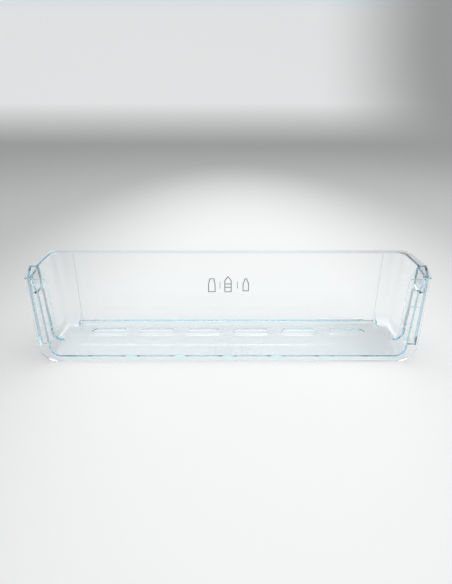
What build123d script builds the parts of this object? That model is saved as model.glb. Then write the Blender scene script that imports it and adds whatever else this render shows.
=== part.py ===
"""Clear one-piece fridge door shelf: an open-backed tray with a hook pocket at each rear end.

X runs along the shelf, Y from the door towards the front panel, Z up. The model is drawn with the rear plane,
which lies against the door, at Y = 0, and is moved to its own centre at the end.
"""
import math
import os
from collections.abc import Callable

from build123d import *

# Walls
wall = 2.6
rim_thickness = 2.6

# Heights above the surface that the shelf stands on
floor_top = 9.0
rim_top = 117.0

# The front part of the inside: its depth from the rear plane, its half width at the floor, how much further
# out a side is at the rim, and its roundings
inside_depth = 95.5
inside_half_floor = 239.0
side_draft = 3.2
inside_corner_radius = 11.0
floor_cove_radius = 12.0
panel_cove_radius = 20.0

# The middle of the front panel: a shallow window below the rim, with a square foot between the coved ends
window_inset = 23.4
window_depth = 1.0
window_foot_radius = 1.0

# The hook bumps narrow the inside at its rear: insets at the floor from the front part's half width, and how
# far the bump's face moves out up to its shoulder and from there to the rim
bump_depth = 42.0
bump_inset_rear = 13.3
bump_inset_front = 7.4
bump_draft = 2.6
bump_flare_rear = 7.1
bump_flare_front = 6.0
shoulder_drop = 18.0
bump_shoulder_radius = 40.0
bump_corner_radius = 1.8
bump_corner_steps = 3

# The hook pockets behind the bumps: widths at the rear slot and at the front end, and their stops
slot_width = 5.3
pocket_end_width = 13.6
rear_flange_width = 5.4
ceiling_drop = 20.8
catch_wall_bottom = 59.0
catch_wall_thickness = 4.2
pocket_sill_top = 26.0
pocket_sill_depth = 13.0

# The rim flange: how far it stands out in front and at the sides, and its roundings
rim_front_overhang = 2.6
rim_side_overhang = 5.6
rim_corner_radius = 9.0
rim_edge_round = 0.8
ear_radius = 16.0

# The rear lip and the front skirt carry the tray above the surface
lip_corner_radius = 23.0
skirt_corner_radius = 6.0

# Relief of the floor: a sunk field, a row of sunk ovals in it and the moulding's gate mark
field_inset = 39.0
field_rear = 27.0
field_depth = 0.5
field_slope = 2.5
field_corner_radius = 6.0
oval_count = 6
oval_pitch = 67.0
oval_length = 53.0
oval_width = 19.0
oval_depth = 0.8
oval_slope = 2.6
oval_row_gap = 32.0
gate_radius = 1.8
gate_height = 0.5
gate_row_gap = 22.0

# Small distance by which a cutter or a filler passes what it meets
overrun = 1.0
# Distance by which the rounded upright corners stand outside the side walls that they run into
corner_blend = 0.1

# Heights and depths that follow
cavity_top = rim_top + overrun
bump_shoulder_top = rim_top - shoulder_drop
pocket_ceiling = rim_top - ceiling_drop
window_face = inside_depth + window_depth
front_outer = inside_depth + wall
rim_front = front_outer + rim_front_overhang

# Half widths that follow
inside_half_rim = inside_half_floor + side_draft
bump_half_floor_rear = inside_half_floor - bump_inset_rear
bump_half_floor_front = inside_half_floor - bump_inset_front
bump_half_shoulder_rear = bump_half_floor_rear + bump_draft
bump_half_shoulder_front = bump_half_floor_front + bump_draft
pocket_half_rear = bump_half_shoulder_rear + wall + slot_width
pocket_half_front = bump_half_shoulder_front + wall + pocket_end_width
pocket_reach = pocket_half_front + wall - bump_half_floor_rear
rim_half_rear = pocket_half_rear + rear_flange_width
rim_half_at_bump = pocket_half_front + wall
window_half = inside_half_floor - window_inset
whole_width = 2 * (rim_half_at_bump + overrun)

# Lines along a bump's face: half width at the rear plane, half width at the bump's front end, height
bump_lines = [
    (bump_half_floor_rear, bump_half_floor_front, floor_top),
    (bump_half_shoulder_rear, bump_half_shoulder_front, bump_shoulder_top),
    (bump_half_shoulder_rear + bump_flare_rear, bump_half_shoulder_front + bump_flare_front, rim_top),
]


def cross_plane(y: float) -> Plane:
    """Plane across the shelf at depth y, with local X along the shelf and local Y up."""
    return Plane(origin=(0, y, 0), x_dir=(1, 0, 0), z_dir=(0, -1, 0))


def cross_section(y: float, half_widths: list, grow: float) -> Face:
    """Symmetrical section of the inside at depth y, grown outwards by a wall.

    half_widths lists (half width, height) from the floor up to the rim; a corner between them is softened.
    """
    right = [(half + grow, height) for half, height in half_widths]
    right[0] = (right[0][0], floor_top - grow)
    right.append((right[-1][0], cavity_top))
    left = [(-x, z) for x, z in reversed(right)]
    outline = make_face(Polyline(*right, *left, close=True))
    floor_corners = outline.vertices().sort_by(Axis.Y)[:2]
    outline = fillet(floor_corners, floor_cove_radius + grow)
    shoulders = outline.vertices().filter_by(lambda corner: corner.Y == bump_shoulder_top)
    if shoulders:
        outline = fillet(shoulders, bump_shoulder_radius - grow)
    return (cross_plane(y) * outline).face()


def along_bump(rear: float, front: float, y: float) -> float:
    """Half width at depth y of a line that runs straight from the rear plane to the bump's front end."""
    return rear + (front - rear) * y / bump_depth


def bump_section(y: float, line_y: float, widen: float, grow: float) -> Face:
    """Section at depth y of the inside between the bumps, with the half widths of depth line_y, widened."""
    half_widths = [(along_bump(rear, front, line_y) + widen, height) for rear, front, height in bump_lines]
    return cross_section(y, half_widths, grow)


def bump_walls() -> Part:
    """The inside between the two hook bumps, grown outwards by a wall."""
    sections = [bump_section(y, y, 0, wall) for y in (0, bump_depth)]
    return Part() + loft(sections, ruled=True)


def bump_inside() -> Part:
    """The inside between the two hook bumps, as a cutter that rolls round the bumps' front corners."""
    lean = math.atan2(bump_inset_rear - bump_inset_front, bump_depth)
    roll_start = bump_depth - bump_corner_radius * (1 - math.sin(lean))
    sections = [bump_section(-overrun, -overrun, 0, 0)]
    for step in range(bump_corner_steps + 1):
        turn = lean + (math.pi / 2 - lean) * step / bump_corner_steps
        y = bump_depth - bump_corner_radius * (1 - math.sin(turn))
        widen = bump_corner_radius * (math.cos(lean) - math.cos(turn))
        sections.append(bump_section(y, roll_start, widen, 0))
    sections.append(bump_section(bump_depth + overrun, roll_start, widen, 0))
    return Part() + loft(sections, ruled=True)


def rounded_plan(half: float, start: float, end: float, radius: float, height: float) -> Face:
    """Rectangle in plan at a height, with its two front corners rounded."""
    corners = [(-half, start), (half, start), (half, end), (-half, end)]
    outline = make_face(Polyline(*corners, close=True))
    front_corners = outline.vertices().sort_by(Axis.Y)[-2:]
    return (Plane.XY.offset(height) * fillet(front_corners, radius)).face()


def side_view(y_range: tuple, z_range: tuple, foot_radius: float, width: float) -> Part:
    """Rectangular side view of a space, drawn across the shelf, with the foot of its front rounded."""
    start, end = y_range
    bottom, top = z_range
    outline = make_face(Polyline((start, bottom), (end, bottom), (end, top), (start, top), close=True))
    foot = outline.vertices().sort_by(Axis.Y)[:2].sort_by(Axis.X)[-1]
    return Part() + extrude(Plane.YZ * fillet(foot, foot_radius), width / 2, both=True)


def front_inside(grow: float) -> Part:
    """The inside in front of the bumps, grown outwards by a wall, with its corners and its foot rounded."""
    start = bump_depth - grow
    end = inside_depth + grow
    half_widths = [(inside_half_floor, floor_top), (inside_half_rim, rim_top)]
    section = cross_section(start, half_widths, grow)
    trough = extrude(section, front_outer + overrun - start, dir=(0, 1, 0))
    lean = side_draft / (rim_top - floor_top)
    plans = []
    for height in (floor_top - grow - overrun, cavity_top + overrun):
        half = inside_half_floor + grow + corner_blend + (height - floor_top) * lean
        plans.append(rounded_plan(half, start - overrun, end, inside_corner_radius + grow, height))
    rounded_trough = trough & loft(plans, ruled=True)
    heights = (floor_top - grow, cavity_top + overrun)
    coved = side_view((start - overrun, end), heights, panel_cove_radius + grow, whole_width)
    return Part() + (rounded_trough & coved)


def window_foot() -> Part:
    """Square outer foot of the front panel's middle, drawn solid and one wall longer at each end."""
    depth = panel_cove_radius + wall
    centre = (0, front_outer - depth / 2, floor_top - wall + depth / 2)
    return Part() + Pos(*centre) * Box(2 * (window_half + wall), depth, depth)


def window_inside() -> Part:
    """The space before the window, from where the coves start and up to the rim, as a cutter."""
    depths = (inside_depth - panel_cove_radius, window_face)
    return side_view(depths, (floor_top, rim_top - rim_thickness), window_foot_radius, 2 * window_half)


def rim_outline() -> Face:
    """Outer edge of the rim in plan, from one rear end round the front to the other."""
    half_front = inside_half_rim + wall + rim_side_overhang
    right = [(rim_half_rear, 0), (rim_half_at_bump, bump_depth), (half_front, rim_front)]
    left = [(-x, y) for x, y in reversed(right)]
    outline = make_face(Polyline(*right, *left, close=True))
    front_corners = outline.vertices().sort_by(Axis.Y)[-2:]
    return fillet(front_corners, rim_corner_radius).face()


def rim_flange() -> Part:
    """Flat rim with softened outer edges, still closed over the inside."""
    plate = extrude(Plane.XY.offset(rim_top - rim_thickness) * rim_outline(), rim_thickness)
    outer_edges = plate.edges().filter_by(Plane.XY).group_by(Axis.Z)[-1]
    edges_beyond_rear = outer_edges.filter_by(lambda edge: edge.center().Y > overrun)
    return Part() + fillet(edges_beyond_rear, rim_edge_round)


def pocket_block(y_range: tuple, z_range: tuple, width: float) -> Part:
    """Block inwards from the right-hand pocket's slanted outer face, within a range of depth and height."""
    start, end = y_range
    bottom, top = z_range
    outer_start = along_bump(pocket_half_rear, pocket_half_front, start) + wall
    outer_end = along_bump(pocket_half_rear, pocket_half_front, end) + wall
    corners = [(outer_start - width, start), (outer_start, start), (outer_end, end), (outer_end - width, end)]
    plan = make_face(Polyline(*corners, close=True))
    return Part() + extrude(Plane.XY.offset(bottom) * plan, top - bottom)


def hook_pocket() -> Part:
    """Walls of the right-hand pocket: outer wall, rear flange, catch wall, ceiling and sill.

    The last three are drawn through to the inside of the tray, which is cut clear afterwards.
    """
    sill_bottom = pocket_sill_top - wall
    catch_start = bump_depth - catch_wall_thickness
    flange_height = rim_top - sill_bottom
    flange_centre = (pocket_half_rear + rear_flange_width / 2, wall / 2, sill_bottom + flange_height / 2)
    pocket = pocket_block((0, bump_depth), (sill_bottom, rim_top), wall)
    pocket += Pos(*flange_centre) * Box(rear_flange_width, wall, flange_height)
    pocket += pocket_block((catch_start, bump_depth), (catch_wall_bottom, rim_top), pocket_reach)
    pocket += pocket_block((0, bump_depth), (pocket_ceiling, pocket_ceiling + wall), pocket_reach)
    pocket += pocket_block((0, pocket_sill_depth), (sill_bottom, pocket_sill_top), pocket_reach)
    return pocket


def standing_plate(half: float, top: float, radius: float, y: float) -> Part:
    """Upright plate across the shelf, one wall thick, with its two lower corners rounded."""
    outline = make_face(Polyline((-half, 0), (half, 0), (half, top), (-half, top), close=True))
    lower_corners = outline.vertices().sort_by(Axis.Y)[:2]
    return Part() + extrude(cross_plane(y + wall) * fillet(lower_corners, min(radius, top - wall)), wall)


def ear_cutter() -> Part:
    """Rounds off the rear top corner of the right-hand bump, up to the pocket's rear flange."""
    inner = bump_half_floor_rear
    outer = pocket_half_rear
    along = Pos((inner + outer) / 2, 0, 0)
    block = Pos(0, 0, rim_top) * Box(outer - inner, 2 * ear_radius, 2 * ear_radius)
    roller = Pos(0, ear_radius, rim_top - ear_radius) * Rot(0, 90, 0) * Cylinder(ear_radius, 2 * outer)
    return Part() + along * (block - roller)


def sunk(outline: Callable, depth: float, slope: float, top: float) -> Part:
    """Cutter for a shallow sunk area with sloping edges.

    outline gives the area's outline, drawn in by an inset, and top is the height of the surface around it.
    """
    above = overrun * slope / depth
    bottom_face = Pos(0, 0, top - depth) * outline(slope)
    top_face = Pos(0, 0, top + overrun) * outline(-above)
    return Part() + loft([bottom_face.face(), top_face.face()], ruled=True)


def floor_field() -> Part:
    """Shallow sunk field of the floor, up to the foot of the window, as a cutter."""
    half = inside_half_floor - field_inset
    front = window_face - window_foot_radius

    def outline(inset: float) -> Sketch:
        return Pos(0, (field_rear + front) / 2, 0) * RectangleRounded(
            2 * (half - inset), front - field_rear - 2 * inset, field_corner_radius - inset)

    return sunk(outline, field_depth, field_slope, floor_top)


def floor_ovals() -> Part:
    """Row of ovals sunk in the floor's field, as a cutter."""
    def outline(inset: float) -> Sketch:
        return Sketch() + SlotOverall(oval_length - 2 * inset, oval_width - 2 * inset)

    oval = sunk(outline, oval_depth, oval_slope, floor_top - field_depth)
    first = -(oval_count - 1) / 2 * oval_pitch
    ovals = Part()
    for index in range(oval_count):
        ovals += Pos(first + index * oval_pitch, inside_depth - oval_row_gap, 0) * oval
    return ovals


def gate_mark() -> Part:
    """Small round mark on the floor's field where the plastic entered the mould."""
    return Part() + Pos(0, inside_depth - gate_row_gap, floor_top - field_depth) * Cylinder(
        gate_radius, 2 * gate_height)


def door_shelf() -> Part:
    """The whole moulding."""
    pocket = hook_pocket()
    tray = bump_walls() + front_inside(wall)
    tray += window_foot()
    tray -= Pos(0, rim_front / 2, rim_top + overrun) * Box(whole_width, rim_front + 2 * overrun, 2 * overrun)
    tray += rim_flange()
    tray += pocket + mirror(pocket, about=Plane.YZ)
    tray += standing_plate(rim_half_rear, pocket_sill_top, lip_corner_radius, 0)
    tray += standing_plate(window_half + wall, floor_top, skirt_corner_radius, inside_depth)
    tray -= bump_inside()
    tray -= front_inside(0)
    tray -= window_inside()
    ear = ear_cutter()
    tray -= ear + mirror(ear, about=Plane.YZ)
    tray -= floor_field()
    tray -= floor_ovals()
    tray += gate_mark()
    return Pos(0, -rim_front / 2, 0) * tray


if __name__ == "__main__":
    os.makedirs("parts", exist_ok=True)
    shelf = door_shelf()
    export_step(shelf, "parts/door_shelf.step")
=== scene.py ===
"""Looks of a clear, pale blue fridge door shelf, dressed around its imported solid.

The shelf is one moulding, so one body carries everything: the polished clear moulding itself and the thin
print on its front panel. Lengths are in metres in the shared frame: X along the shelf, Y from the open rear
towards the front panel, Z up from the surface that it stands on.
"""
import logging
import math
from dataclasses import dataclass
from enum import Enum

import bmesh
import bpy
from mathutils import Euler, Matrix, Vector


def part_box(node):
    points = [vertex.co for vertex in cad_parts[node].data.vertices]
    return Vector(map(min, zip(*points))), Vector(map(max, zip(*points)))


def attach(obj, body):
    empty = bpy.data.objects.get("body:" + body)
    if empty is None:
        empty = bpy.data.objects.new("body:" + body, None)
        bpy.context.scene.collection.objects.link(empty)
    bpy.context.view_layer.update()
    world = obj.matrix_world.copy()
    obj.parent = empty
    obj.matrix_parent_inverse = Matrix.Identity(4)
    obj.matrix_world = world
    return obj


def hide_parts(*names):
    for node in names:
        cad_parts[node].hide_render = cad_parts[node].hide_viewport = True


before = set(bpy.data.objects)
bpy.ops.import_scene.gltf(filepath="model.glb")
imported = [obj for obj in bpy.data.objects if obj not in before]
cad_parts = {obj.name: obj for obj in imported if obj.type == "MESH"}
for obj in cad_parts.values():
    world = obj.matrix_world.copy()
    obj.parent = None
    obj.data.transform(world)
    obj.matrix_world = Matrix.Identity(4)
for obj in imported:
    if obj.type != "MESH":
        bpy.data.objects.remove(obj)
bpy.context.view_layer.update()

MM = 0.001
# Share of the seen surround that still counts for a ray which has left a matt surface
SCATTERED_SHARE = 0.5

log = logging.getLogger("door_shelf")


class Body(Enum):
    """The bodies that a piece can ride on."""

    WHOLE = "root"


class Slot(Enum):
    """The record's material slots."""

    CLEAR = "clear_polystyrene"
    PRINT = "panel_print"


class NodeSheet:
    """A material's or world's node tree, with short calls to add and join its nodes."""

    def __init__(self, tree: bpy.types.NodeTree) -> None:
        """Empty the tree.

        Args:
            tree: the node tree to fill.
        """
        self.tree = tree
        tree.nodes.clear()

    def add(self, kind: str, **values: object) -> bpy.types.Node:
        """Add a node and set its properties or its input sockets.

        Args:
            kind: the node's type name.
            values: properties of the node, or values of inputs named with _ for a space.

        Returns:
            The new node.
        """
        node = self.tree.nodes.new(kind)
        for name, value in values.items():
            if hasattr(node, name):
                setattr(node, name, value)
            else:
                node.inputs[name.replace("_", " ")].default_value = value
        return node

    def join(self, source: bpy.types.NodeSocket, target: bpy.types.NodeSocket) -> None:
        """Link an output socket to an input socket."""
        self.tree.links.new(source, target)

    def product(self, first: bpy.types.NodeSocket, second: bpy.types.NodeSocket) -> bpy.types.NodeSocket:
        """Multiply two sockets.

        Args:
            first: one factor.
            second: the other factor.

        Returns:
            The socket of their product.
        """
        times = self.add("ShaderNodeMath", operation="MULTIPLY")
        self.join(first, times.inputs[0])
        self.join(second, times.inputs[1])
        return times.outputs["Value"]

    def seen_rays(self) -> bpy.types.NodeSocket:
        """Tell rays that look at a surface from rays that light it.

        A ray looks directly, in a mirror or through clear walls.

        Returns:
            A socket that is 1 for rays that look, a share of it once they have left a matt surface, and 0
            for the rest.
        """
        rays = self.add("ShaderNodeLightPath")
        direct = self.add("ShaderNodeMath", operation="MAXIMUM")
        seen = self.add("ShaderNodeMath", operation="MAXIMUM")
        self.join(rays.outputs["Is Camera Ray"], direct.inputs[0])
        self.join(rays.outputs["Is Glossy Ray"], direct.inputs[1])
        self.join(direct.outputs["Value"], seen.inputs[0])
        self.join(rays.outputs["Is Transmission Ray"], seen.inputs[1])
        share = self.add("ShaderNodeMapRange", To_Min=1.0, To_Max=SCATTERED_SHARE)
        self.join(rays.outputs["Diffuse Depth"], share.inputs["Value"])
        return self.product(seen.outputs["Value"], share.outputs["Result"])


def new_material(name: str) -> tuple[bpy.types.Material, NodeSheet]:
    """Make an empty node material.

    Args:
        name: the material's name.

    Returns:
        The material and its node sheet.
    """
    material = bpy.data.materials.new(name)
    material.use_nodes = True
    return material, NodeSheet(material.node_tree)


@dataclass(frozen=True)
class ClearPlastic:
    """Polished clear polystyrene with a pale blue tint that gathers along thick edges."""

    name: str = "clear_polystyrene"
    surface_tint: tuple[float, float, float, float] = (0.997, 1.0, 1.0, 1.0)
    depth_tint: tuple[float, float, float, float] = (0.22, 0.61, 0.72, 1.0)
    depth_density: float = 14.0
    refractive_index: float = 1.59
    least_roughness: float = 0.015
    most_roughness: float = 0.06
    haze_scale: float = 26.0
    haze_detail: float = 3.0
    ripple_scale: float = 55.0
    ripple_detail: float = 1.0
    ripple_strength: float = 0.008
    ripple_distance: float = 0.0004

    def material(self) -> bpy.types.Material:
        """Build the plastic: a refracting surface with slight haze and ripple, over a tinted depth.

        Returns:
            The new material.
        """
        material, sheet = new_material(self.name)
        surface = sheet.add("ShaderNodeBsdfPrincipled", Base_Color=self.surface_tint,
                            IOR=self.refractive_index, Transmission_Weight=1.0)
        depth = sheet.add("ShaderNodeVolumeAbsorption", Color=self.depth_tint, Density=self.depth_density)
        place = sheet.add("ShaderNodeTexCoord")
        haze = sheet.add("ShaderNodeTexNoise", Scale=self.haze_scale, Detail=self.haze_detail)
        spread = sheet.add("ShaderNodeMapRange", To_Min=self.least_roughness, To_Max=self.most_roughness)
        ripple = sheet.add("ShaderNodeTexNoise", Scale=self.ripple_scale, Detail=self.ripple_detail)
        bump = sheet.add("ShaderNodeBump", Strength=self.ripple_strength, Distance=self.ripple_distance)
        out = sheet.add("ShaderNodeOutputMaterial")
        sheet.join(place.outputs["Object"], haze.inputs["Vector"])
        sheet.join(haze.outputs["Fac"], spread.inputs["Value"])
        sheet.join(spread.outputs["Result"], surface.inputs["Roughness"])
        sheet.join(place.outputs["Object"], ripple.inputs["Vector"])
        sheet.join(ripple.outputs["Fac"], bump.inputs["Height"])
        sheet.join(bump.outputs["Normal"], surface.inputs["Normal"])
        sheet.join(surface.outputs["BSDF"], out.inputs["Surface"])
        sheet.join(depth.outputs["Volume"], out.inputs["Volume"])
        return material


@dataclass(frozen=True)
class ScreenInk:
    """Thin grey ink, a little uneven as screen print is."""

    name: str = "panel_print"
    pale: tuple[float, float, float, float] = (0.27, 0.30, 0.31, 1.0)
    dense: tuple[float, float, float, float] = (0.20, 0.23, 0.24, 1.0)
    grain_scale: float = 900.0
    grain_detail: float = 2.0
    roughness: float = 0.55

    def material(self) -> bpy.types.Material:
        """Build the ink.

        Returns:
            The new material.
        """
        material, sheet = new_material(self.name)
        surface = sheet.add("ShaderNodeBsdfPrincipled", Roughness=self.roughness)
        place = sheet.add("ShaderNodeTexCoord")
        grain = sheet.add("ShaderNodeTexNoise", Scale=self.grain_scale, Detail=self.grain_detail)
        shades = sheet.add("ShaderNodeValToRGB")
        shades.color_ramp.elements[0].color = self.dense
        shades.color_ramp.elements[1].color = self.pale
        out = sheet.add("ShaderNodeOutputMaterial")
        sheet.join(place.outputs["Object"], grain.inputs["Vector"])
        sheet.join(grain.outputs["Fac"], shades.inputs["Fac"])
        sheet.join(shades.outputs["Color"], surface.inputs["Base Color"])
        sheet.join(surface.outputs["BSDF"], out.inputs["Surface"])
        return material


@dataclass(frozen=True)
class PaleTable:
    """Matt white sweep that takes a shadow.

    It shows near white round the shelf, fading outwards, where a painted pool of light makes it glow for
    rays that look at it. Its backdrop glows in a wash of colour that paints reflections on the plastic: pale
    grey as high as the camera sees, a band of blue above that, and white at the top, which paints
    highlights.
    """

    name: str = "pale_table"
    colour: tuple[float, float, float, float] = (0.86, 0.87, 0.87, 1.0)
    # Painted pool of light: the floor glows brighter round the shelf, fading outwards, for rays that look at
    # it
    painted_light_colour: tuple[float, float, float, float] = (1.0, 1.0, 1.0, 1.0)
    base_lift: float = 0.12
    painted_pool_light: float = 0.475
    painted_pool_centre: tuple[float, float] = (0.03, 0.10)
    painted_pool_reach: tuple[float, float] = (0.62, 1.7)
    painted_pool_rise: float = 0.8
    # Painted reflections: the backdrop glows in bands of colour, seen in the plastic's mirrors and through
    # it, that paint its sheen and blue edges
    painted_reflection_height: float = 4.0
    no_painted_reflection: tuple[float, float, float, float] = (0.0, 0.0, 0.0, 1.0)
    near_painted_reflection: tuple[float, float, float, float] = (0.42, 0.43, 0.435, 1.0)
    near_painted_reflection_from: float = 0.25
    near_painted_reflection_to: float = 0.95
    low_painted_reflection: tuple[float, float, float, float] = (0.20, 0.38, 0.47, 1.0)
    low_painted_reflection_from: float = 1.2
    low_painted_reflection_to: float = 1.4
    high_painted_reflection: tuple[float, float, float, float] = (0.58, 0.64, 0.67, 1.0)
    high_painted_reflection_from: float = 2.0
    high_painted_reflection_to: float = 2.65
    # Painted highlight: the top of the backdrop glows white, and brighter than white for mirror rays
    top_painted_highlight: tuple[float, float, float, float] = (1.0, 1.0, 1.0, 1.0)
    top_painted_highlight_from: float = 3.05
    painted_highlight_gain: float = 2.2
    painted_reflection_none_from: float = 1.8
    painted_reflection_full_to: float = 0.7

    def material(self) -> bpy.types.Material:
        """Build the surface: diffuse white, with a painted pool of light and a glowing wash that paints
        reflections, both for rays that look at it.

        Returns:
            The new material.
        """
        material, sheet = new_material(self.name)
        place = sheet.add("ShaderNodeTexCoord")
        matt = sheet.add("ShaderNodeBsdfDiffuse", Color=self.colour)
        painted_pool = sheet.add("ShaderNodeEmission", Color=self.painted_light_colour)
        painted_reflection_glow = sheet.add("ShaderNodeEmission")
        matt_and_painted_pool = sheet.add("ShaderNodeAddShader")
        with_painted_reflection = sheet.add("ShaderNodeAddShader")
        out = sheet.add("ShaderNodeOutputMaterial")
        seen = sheet.seen_rays()
        # Painted pool of light on the floor, seen by rays that look, laid over the real light and shadow
        sheet.join(sheet.product(seen, self.painted_pool_strength(sheet, place)), painted_pool.inputs["Strength"])
        # The backdrop's glowing wash, which paints reflections on the plastic
        self.painted_reflection_wash(sheet, place, seen, painted_reflection_glow)
        sheet.join(matt.outputs["BSDF"], matt_and_painted_pool.inputs[0])
        sheet.join(painted_pool.outputs["Emission"], matt_and_painted_pool.inputs[1])
        sheet.join(matt_and_painted_pool.outputs["Shader"], with_painted_reflection.inputs[0])
        sheet.join(painted_reflection_glow.outputs["Emission"], with_painted_reflection.inputs[1])
        sheet.join(with_painted_reflection.outputs["Shader"], out.inputs["Surface"])
        return material

    def painted_pool_strength(self, sheet: NodeSheet, place: bpy.types.Node) -> bpy.types.NodeSocket:
        """Make the painted pool of light round the shelf, strongest in its middle.

        Args:
            sheet: the node sheet to add to.
            place: the texture coordinate node.

        Returns:
            The socket of the painted pool of light's strength.
        """
        shift = [-centre / reach for centre, reach in zip(self.painted_pool_centre, self.painted_pool_reach)]
        ellipse = sheet.add("ShaderNodeMapping", Location=(*shift, 0.0),
                            Scale=(1 / self.painted_pool_reach[0], 1 / self.painted_pool_reach[1], 1 / self.painted_pool_reach[1]))
        fade = sheet.add("ShaderNodeTexGradient", gradient_type="SPHERICAL")
        painted_pool = sheet.add("ShaderNodeMapRange", interpolation_type="SMOOTHSTEP", From_Max=self.painted_pool_rise,
                         To_Min=self.base_lift, To_Max=self.painted_pool_light)
        sheet.join(place.outputs["Object"], ellipse.inputs["Vector"])
        sheet.join(ellipse.outputs["Vector"], fade.inputs["Vector"])
        sheet.join(fade.outputs["Fac"], painted_pool.inputs["Value"])
        return painted_pool.outputs["Result"]

    def painted_reflection_wash(self, sheet: NodeSheet, place: bpy.types.Node, seen: bpy.types.NodeSocket,
                    painted_reflection_glow: bpy.types.Node) -> None:
        """Make the backdrop glow in a wash of colour that paints reflections on the plastic, changing with
        its height and fading to the right.

        The top of it shows brighter in mirrors, a painted highlight on the plastic.

        Args:
            sheet: the node sheet to add to.
            place: the texture coordinate node.
            seen: the socket that is 1 for rays that look.
            painted_reflection_glow: the emission node that glows to paint the reflections.
        """
        split = sheet.add("ShaderNodeSeparateXYZ")
        rise = sheet.add("ShaderNodeMapRange", From_Max=self.painted_reflection_height)
        shades = sheet.add("ShaderNodeValToRGB")
        side = sheet.add("ShaderNodeMapRange", interpolation_type="SMOOTHSTEP",
                         From_Min=self.painted_reflection_none_from, From_Max=self.painted_reflection_full_to)
        gain = sheet.add("ShaderNodeMapRange", interpolation_type="SMOOTHSTEP",
                         From_Min=self.high_painted_reflection_to, From_Max=self.top_painted_highlight_from, To_Max=self.painted_highlight_gain)
        rays = sheet.add("ShaderNodeLightPath")
        level = sheet.add("ShaderNodeMath", operation="ADD")
        stops = shades.color_ramp.elements
        stops[0].color = self.no_painted_reflection
        stops[1].position = self.top_painted_highlight_from / self.painted_reflection_height
        stops[1].color = self.top_painted_highlight
        bands = (
            (self.near_painted_reflection, self.near_painted_reflection_from, self.near_painted_reflection_to),
            (self.low_painted_reflection, self.low_painted_reflection_from, self.low_painted_reflection_to),
            (self.high_painted_reflection, self.high_painted_reflection_from, self.high_painted_reflection_to),
        )
        for colour, start, end in bands:
            stops.new(start / self.painted_reflection_height).color = colour
            stops.new(end / self.painted_reflection_height).color = colour
        sheet.join(place.outputs["Object"], split.inputs["Vector"])
        sheet.join(split.outputs["Z"], rise.inputs["Value"])
        sheet.join(split.outputs["X"], side.inputs["Value"])
        sheet.join(rise.outputs["Result"], shades.inputs["Fac"])
        sheet.join(shades.outputs["Color"], painted_reflection_glow.inputs["Color"])
        # Mirror rays see the top glow brighter still: a painted highlight
        sheet.join(split.outputs["Z"], gain.inputs["Value"])
        sheet.join(seen, level.inputs[0])
        sheet.join(sheet.product(rays.outputs["Is Glossy Ray"], gain.outputs["Result"]), level.inputs[1])
        sheet.join(sheet.product(level.outputs["Value"], side.outputs["Result"]), painted_reflection_glow.inputs["Strength"])


def link_mesh(shape: bmesh.types.BMesh, name: str, material: bpy.types.Material) -> bpy.types.Object:
    """Turn a finished bmesh into an object at the origin and free the bmesh.

    Args:
        shape: the finished shape, in the shared frame.
        name: the object's name.
        material: the object's only material.

    Returns:
        The linked object.
    """
    mesh = bpy.data.meshes.new(name)
    shape.to_mesh(mesh)
    shape.free()
    mesh.materials.append(material)
    piece = bpy.data.objects.new(name, mesh)
    bpy.context.scene.collection.objects.link(piece)
    return piece


@dataclass
class Moulding:
    """The clear moulding: the solid's own form, smooth where round, with crisp relief in its floor."""

    node: str = "door_shelf"
    name: str = "clear_moulding"
    weld: float = 0.002 * MM
    crease_angle: float = math.radians(32.0)
    relief_angle: float = math.radians(5.0)
    relief_top: float = 8.9 * MM
    relief_bottom: float = 6.5 * MM
    oval_floor: float = 7.7 * MM
    dish_rings: tuple[tuple[float, float], ...] = (
        (1.6 * MM, 0.22 * MM),
        (2.2 * MM, 0.17 * MM),
        (2.2 * MM, 0.10 * MM),
    )

    def build(self, finish: ClearPlastic) -> bpy.types.Object:
        """Copy the solid, merge its loose triangles, dish its ovals and smooth its round stretches.

        Args:
            finish: the plastic to dress it with.

        Returns:
            The piece, riding on the whole and standing for the solid.
        """
        shape = bmesh.new()
        shape.from_mesh(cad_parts[self.node].data)
        bmesh.ops.remove_doubles(shape, verts=shape.verts, dist=self.weld)
        self.dish_ovals(shape)
        for face in shape.faces:
            face.smooth = True
            face.material_index = 0
        for edge in shape.edges:
            on_relief = all(self.relief_bottom < corner.co.z < self.relief_top for corner in edge.verts)
            crease = self.relief_angle if on_relief else self.crease_angle
            edge.smooth = edge.calc_face_angle(math.pi) < crease
        piece = link_mesh(shape, self.name, finish.material())
        large_faces_first = piece.modifiers.new("large_faces_first", "WEIGHTED_NORMAL")
        large_faces_first.keep_sharp = True
        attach(piece, Body.WHOLE.value)
        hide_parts(self.node)
        return piece

    def dish_ovals(self, shape: bmesh.types.BMesh) -> None:
        """Sink the flat floors of the ovals into shallow dishes, ring by ring.

        Args:
            shape: the merged copy of the solid.
        """
        flat = [face for face in shape.faces
                if all(abs(corner.co.z - self.oval_floor) < self.weld for corner in face.verts)]
        floors = bmesh.ops.dissolve_faces(shape, faces=flat, use_verts=False)["region"]
        for width, drop in self.dish_rings:
            bmesh.ops.inset_region(shape, faces=floors, thickness=width, depth=-drop, use_boundary=True,
                                   use_even_offset=True)


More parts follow.
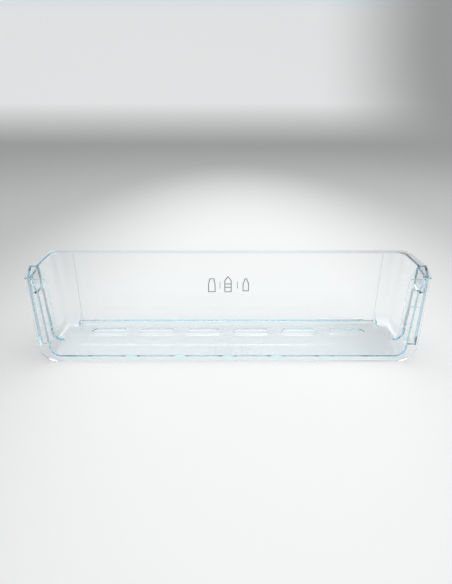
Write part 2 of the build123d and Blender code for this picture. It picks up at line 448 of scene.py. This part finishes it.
@dataclass
class Studio:
    """The plain stage: a pale sweep, a soft lamp, a pale surround and the camera."""

    frame_width: int = 452
    frame_height: int = 584
    focal_pixels: float = 439.0
    centre_pixel: float = 228.0
    camera_place: tuple[float, float, float] = (0.0, -0.53235, 0.315)
    camera_pitch: float = math.radians(24.2)
    sensor: float = 36.0
    near_clip: float = 0.01

    standing_gap: float = 0.1 * MM
    sweep_half_width: float = 14.0
    sweep_near: float = -3.5
    sweep_far: float = 2.6
    sweep_radius: float = 1.2
    sweep_height: float = 4.0
    sweep_steps: int = 24

    light_colour: tuple[float, float, float, float] = (0.82, 0.82, 0.82, 1.0)
    seen_colour: tuple[float, float, float, float] = (0.58, 0.77, 0.86, 1.0)
    surround_light: float = 0.28
    surround_seen: float = 1.0
    wall_crossings: int = 32

    lamp_place: tuple[float, float, float] = (0.30, 0.20, 1.35)
    lamp_target: tuple[float, float, float] = (0.08, 0.05, 0.0)
    lamp_size: tuple[float, float] = (2.2, 1.6)
    lamp_power: float = 9.6

    def build(self) -> None:
        """Make the sweep, the surround, the lamp and the camera."""
        self.make_sweep()
        self.make_surround()
        self.make_lamp()
        self.make_camera()
        self.let_light_through()
        bpy.context.scene.view_settings.view_transform = "Standard"

    def let_light_through(self) -> None:
        """Follow light through as many clear walls and inner reflections as the edges need."""
        paths = bpy.context.scene.cycles
        paths.max_bounces = self.wall_crossings
        paths.transmission_bounces = self.wall_crossings
        paths.glossy_bounces = self.wall_crossings

    def make_sweep(self) -> None:
        """Make the table top with a backdrop that rises from it in one curve."""
        shape = bmesh.new()
        start = shape.verts.new((-self.sweep_half_width, self.sweep_near, -self.standing_gap))
        end = shape.verts.new((-self.sweep_half_width, self.sweep_far, -self.standing_gap))
        shape.edges.new((start, end))
        arc = bmesh.ops.spin(
            shape, geom=[end], cent=(-self.sweep_half_width, self.sweep_far, self.sweep_radius),
            axis=(1.0, 0.0, 0.0), angle=math.pi / 2, steps=self.sweep_steps, use_merge=False)
        top = [item for item in arc["geom_last"] if isinstance(item, bmesh.types.BMVert)][0]
        rise = bmesh.ops.extrude_vert_indiv(shape, verts=[top])
        bmesh.ops.translate(shape, verts=rise["verts"], vec=(0.0, 0.0, self.sweep_height))
        wide = bmesh.ops.extrude_edge_only(shape, edges=shape.edges[:])
        moved = [item for item in wide["geom"] if isinstance(item, bmesh.types.BMVert)]
        bmesh.ops.translate(shape, verts=moved, vec=(2 * self.sweep_half_width, 0.0, 0.0))
        bmesh.ops.recalc_face_normals(shape, faces=shape.faces)
        for face in shape.faces:
            face.smooth = True
        link_mesh(shape, "table_sweep", PaleTable().material())

    def make_surround(self) -> None:
        """Make the world an even light that shows as a pale blue room where it is seen or mirrored."""
        world = bpy.data.worlds.new("surround")
        bpy.context.scene.world = world
        world.use_nodes = True
        sheet = NodeSheet(world.node_tree)
        light = sheet.add("ShaderNodeBackground", Color=self.light_colour, Strength=self.surround_light)
        room = sheet.add("ShaderNodeBackground", Color=self.seen_colour, Strength=self.surround_seen)
        either = sheet.add("ShaderNodeMixShader")
        out = sheet.add("ShaderNodeOutputWorld")
        sheet.join(sheet.seen_rays(), either.inputs["Fac"])
        sheet.join(light.outputs["Background"], either.inputs[1])
        sheet.join(room.outputs["Background"], either.inputs[2])
        sheet.join(either.outputs["Shader"], out.inputs["Surface"])

    def make_lamp(self) -> None:
        """Hang one wide, soft lamp that faces the shelf."""
        lamp = bpy.data.lights.new("key_lamp", "AREA")
        lamp.shape = "RECTANGLE"
        lamp.size, lamp.size_y = self.lamp_size
        lamp.energy = self.lamp_power
        holder = bpy.data.objects.new("key_lamp", lamp)
        holder.location = self.lamp_place
        facing = Vector(self.lamp_target) - Vector(self.lamp_place)
        holder.rotation_euler = facing.to_track_quat("-Z", "Y").to_euler()
        bpy.context.scene.collection.objects.link(holder)

    def make_camera(self) -> None:
        """Place the camera where the photograph was taken from."""
        lens = bpy.data.cameras.new("camera")
        lens.sensor_fit = "VERTICAL"
        lens.sensor_height = self.sensor
        lens.lens = self.focal_pixels * self.sensor / self.frame_height
        lens.shift_x = (self.frame_width / 2 - self.centre_pixel) / self.frame_height
        lens.clip_start = self.near_clip
        holder = bpy.data.objects.new("camera", lens)
        holder.location = self.camera_place
        holder.rotation_euler = Euler((math.pi / 2 - self.camera_pitch, 0.0, 0.0))
        bpy.context.scene.collection.objects.link(holder)
        bpy.context.scene.camera = holder


@dataclass(frozen=True)
class BottleOutline:
    """A symmetrical outline and its place on the panel.

    The half lists half widths and heights above the foot in millimetres, from the foot up.
    """

    half: tuple[tuple[float, float], ...]
    middle: float
    foot: float


@dataclass
class PanelPrint:
    """Thin print of three bottles and two dividers on the outer face of the front panel."""

    name: str = "panel_print"
    rim_overhang: float = 2.6 * MM
    lift: float = 0.02 * MM
    ink: float = 0.04 * MM
    line: float = 1.2 * MM
    divider_width: float = 0.7 * MM
    divider_foot: float = 60.2 * MM
    divider_height: float = 10.9 * MM
    divider_places: tuple[float, float] = (-11.5 * MM, 13.6 * MM)
    band_heights: tuple[float, float] = (7.7 * MM, 12.9 * MM)
    jar: BottleOutline = BottleOutline(
        half=((5.3, 0.0), (5.3, 12.6), (5.1, 14.4), (4.1, 16.6), (3.9, 18.2), (4.2, 19.4), (3.9, 20.8),
              (3.2, 21.4)),
        middle=-23.3 * MM, foot=54.4 * MM)
    tall: BottleOutline = BottleOutline(
        half=((5.1, 0.0), (5.1, 17.6), (4.8, 18.8), (2.2, 22.2), (1.4, 24.0), (0.8, 24.6)),
        middle=0.0, foot=54.3 * MM)
    slim: BottleOutline = BottleOutline(
        half=((4.45, 0.0), (4.45, 11.6), (4.1, 13.2), (2.5, 16.4), (2.2, 18.8), (1.7, 19.9)),
        middle=25.6 * MM, foot=55.8 * MM)

    def build(self, finish: ScreenInk) -> bpy.types.Object:
        """Draw the outlines and the dividers as one thin piece.

        Args:
            finish: the ink to dress it with.

        Returns:
            The piece, riding on the whole.
        """
        shape = bmesh.new()
        for bottle in (self.jar, self.tall, self.slim):
            self.outline(shape, bottle)
        band_width = 2 * (self.tall.half[0][0] * MM - self.line)
        for height in self.band_heights:
            self.bar(shape, self.tall.middle, self.tall.foot + height, band_width, self.line)
        for middle in self.divider_places:
            self.bar(shape, middle, self.divider_foot + self.divider_height / 2, self.divider_width,
                     self.divider_height)
        self.thicken(shape)
        piece = link_mesh(shape, self.name, finish.material())
        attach(piece, Body.WHOLE.value)
        return piece

    def face_depth(self) -> float:
        """Depth of the print: just clear of the panel's outer face, which lies behind the rim's edge."""
        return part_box("door_shelf")[1].y - self.rim_overhang + self.lift

    def outline(self, shape: bmesh.types.BMesh, bottle: BottleOutline) -> None:
        """Draw a bottle's outline as a narrow band.

        Args:
            shape: the bmesh to add it to.
            bottle: the outline to draw.
        """
        right = [(bottle.middle + x * MM, bottle.foot + z * MM) for x, z in bottle.half]
        left = [(bottle.middle - x * MM, bottle.foot + z * MM) for x, z in reversed(bottle.half)]
        depth = self.face_depth()
        corners = [shape.verts.new((x, depth, z)) for x, z in right + left]
        face = shape.faces.new(corners)
        face.normal_update()
        bmesh.ops.inset_region(shape, faces=[face], thickness=self.line, use_boundary=True,
                               use_even_offset=True)
        bmesh.ops.delete(shape, geom=[face], context="FACES")

    def bar(self, shape: bmesh.types.BMesh, x: float, z: float, width: float, height: float) -> None:
        """Draw one plain bar.

        Args:
            shape: the bmesh to add it to.
            x: the place of its middle along the shelf.
            z: the height of its middle.
            width: its width along the shelf.
            height: its height.
        """
        place = Matrix.Translation((x, self.face_depth(), z)) @ Matrix.Rotation(math.pi / 2, 4, "X")
        size = Matrix.Diagonal((width, height, 1.0, 1.0))
        bmesh.ops.create_grid(shape, x_segments=1, y_segments=1, size=0.5, matrix=place @ size)

    def thicken(self, shape: bmesh.types.BMesh) -> None:
        """Give the flat print the thickness of its ink, outwards from the panel.

        Args:
            shape: the flat print.
        """
        grown = bmesh.ops.extrude_face_region(shape, geom=shape.faces[:])
        moved = [item for item in grown["geom"] if isinstance(item, bmesh.types.BMVert)]
        bmesh.ops.translate(shape, verts=moved, vec=(0.0, self.ink, 0.0))
        bmesh.ops.recalc_face_normals(shape, faces=shape.faces)


def main() -> None:
    """Build the shelf and its stage in order and report each piece."""
    logging.basicConfig(level=logging.INFO, format="%(name)s: %(message)s")
    pieces = [Moulding().build(ClearPlastic()), PanelPrint().build(ScreenInk())]
    for piece in pieces:
        log.info("%s: %d faces", piece.name, len(piece.data.polygons))
    Studio().build()


if __name__ == "__main__":
    main()
